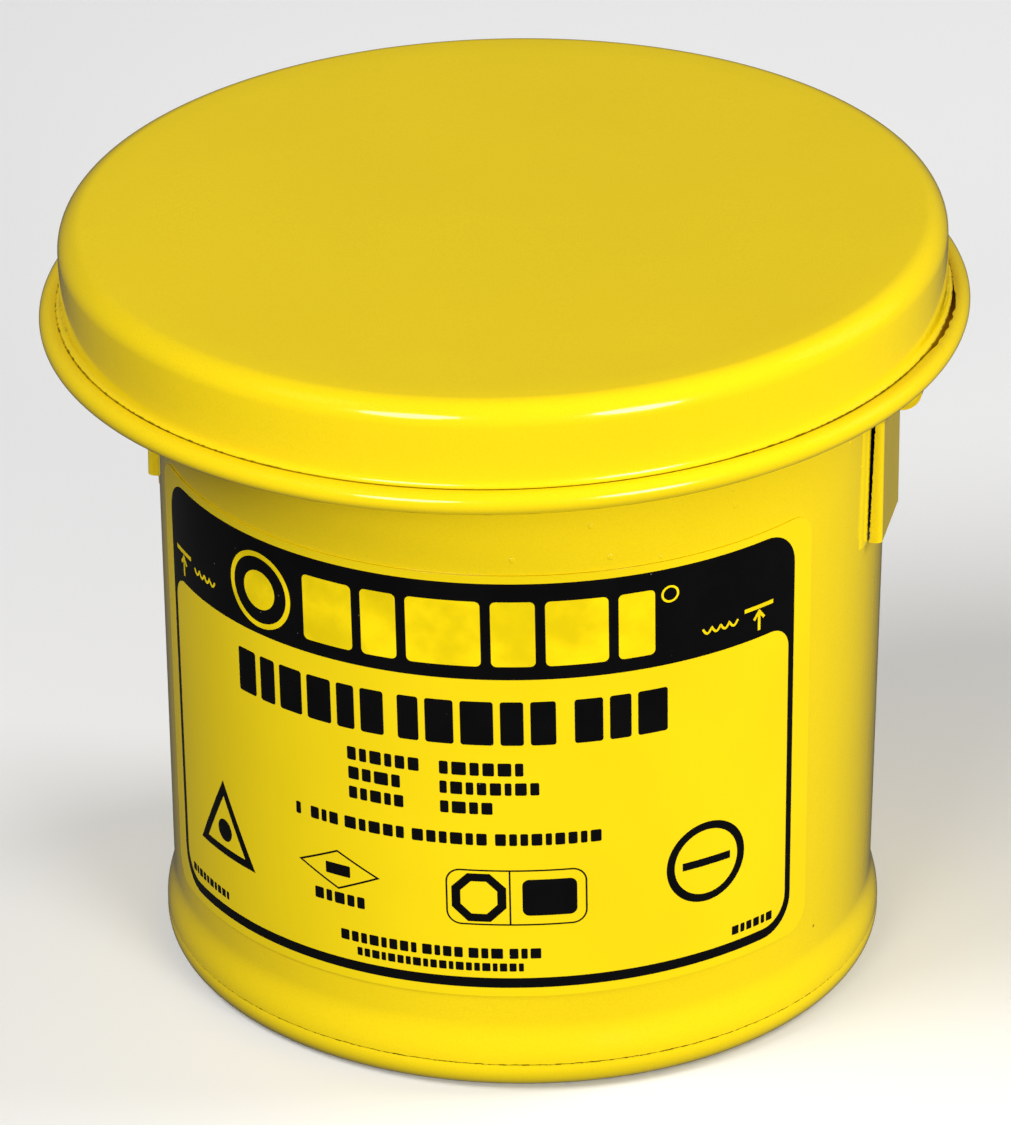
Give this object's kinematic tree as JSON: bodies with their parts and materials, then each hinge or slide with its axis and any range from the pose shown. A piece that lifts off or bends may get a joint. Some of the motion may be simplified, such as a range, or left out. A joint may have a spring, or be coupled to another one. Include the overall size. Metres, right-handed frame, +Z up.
{
  "type": "safety bench can",
  "caption": "Small round painted steel bench can for cleaning solvent, with a wide hinged lid, a sprung perforated dipping dish inside and a wrapped label.",
  "frame": {"origin": "on the bench, under the middle of the lid's rim; the can's own axis is 3 mm from it towards the hinge", "axes": "+Z up, -Y out through the middle of the label, +X towards the lid's hinge"},
  "size_m": [0.1586, 0.1586, 0.1381],
  "materials": {
    "yellow_paint": "glossy powder coat",
    "inside_paint": "powder coat, thinner inside",
    "zinc_plate": "zinc plated",
    "spring_steel": "bright spring wire",
    "label_film": "glossy printed film"
  },
  "bodies": {
    "can": {"body_shell": "yellow_paint", "base_pan": "yellow_paint", "mouth_ring": "inside_paint", "label": "label_film", "hinge_bracket": "yellow_paint", "side_bracket": "yellow_paint", "hinge_pin": "zinc_plate", "dasher_stop_1": "inside_paint", "dasher_stop_2": "inside_paint", "dasher_stop_3": "inside_paint", "spring_seat": "zinc_plate", "dasher_spring": "spring_steel"},
    "lid": {"lid_shell": "yellow_paint", "lid_strap": "yellow_paint"},
    "dasher": {"dasher_plate": "zinc_plate", "dasher_rim": "zinc_plate", "spring_cap": "zinc_plate", "dasher_rivet": "zinc_plate", "rivet_washer": "zinc_plate"}
  },
  "joints": [
    {"name": "lid_hinge", "type": "hinge", "parent": "can", "child": "lid", "pos_m": [0.06996, 0, 0.1136], "axis": [0, 1, 0], "range_deg": [0, 105]},
    {"name": "dasher_press", "type": "slide", "parent": "can", "child": "dasher", "axis": [0, 0, -1], "range_m": [0, 0.03], "stiffness_N_per_m": 300, "springref_m": -0.012, "deforming": ["dasher_spring"]}
  ]
}
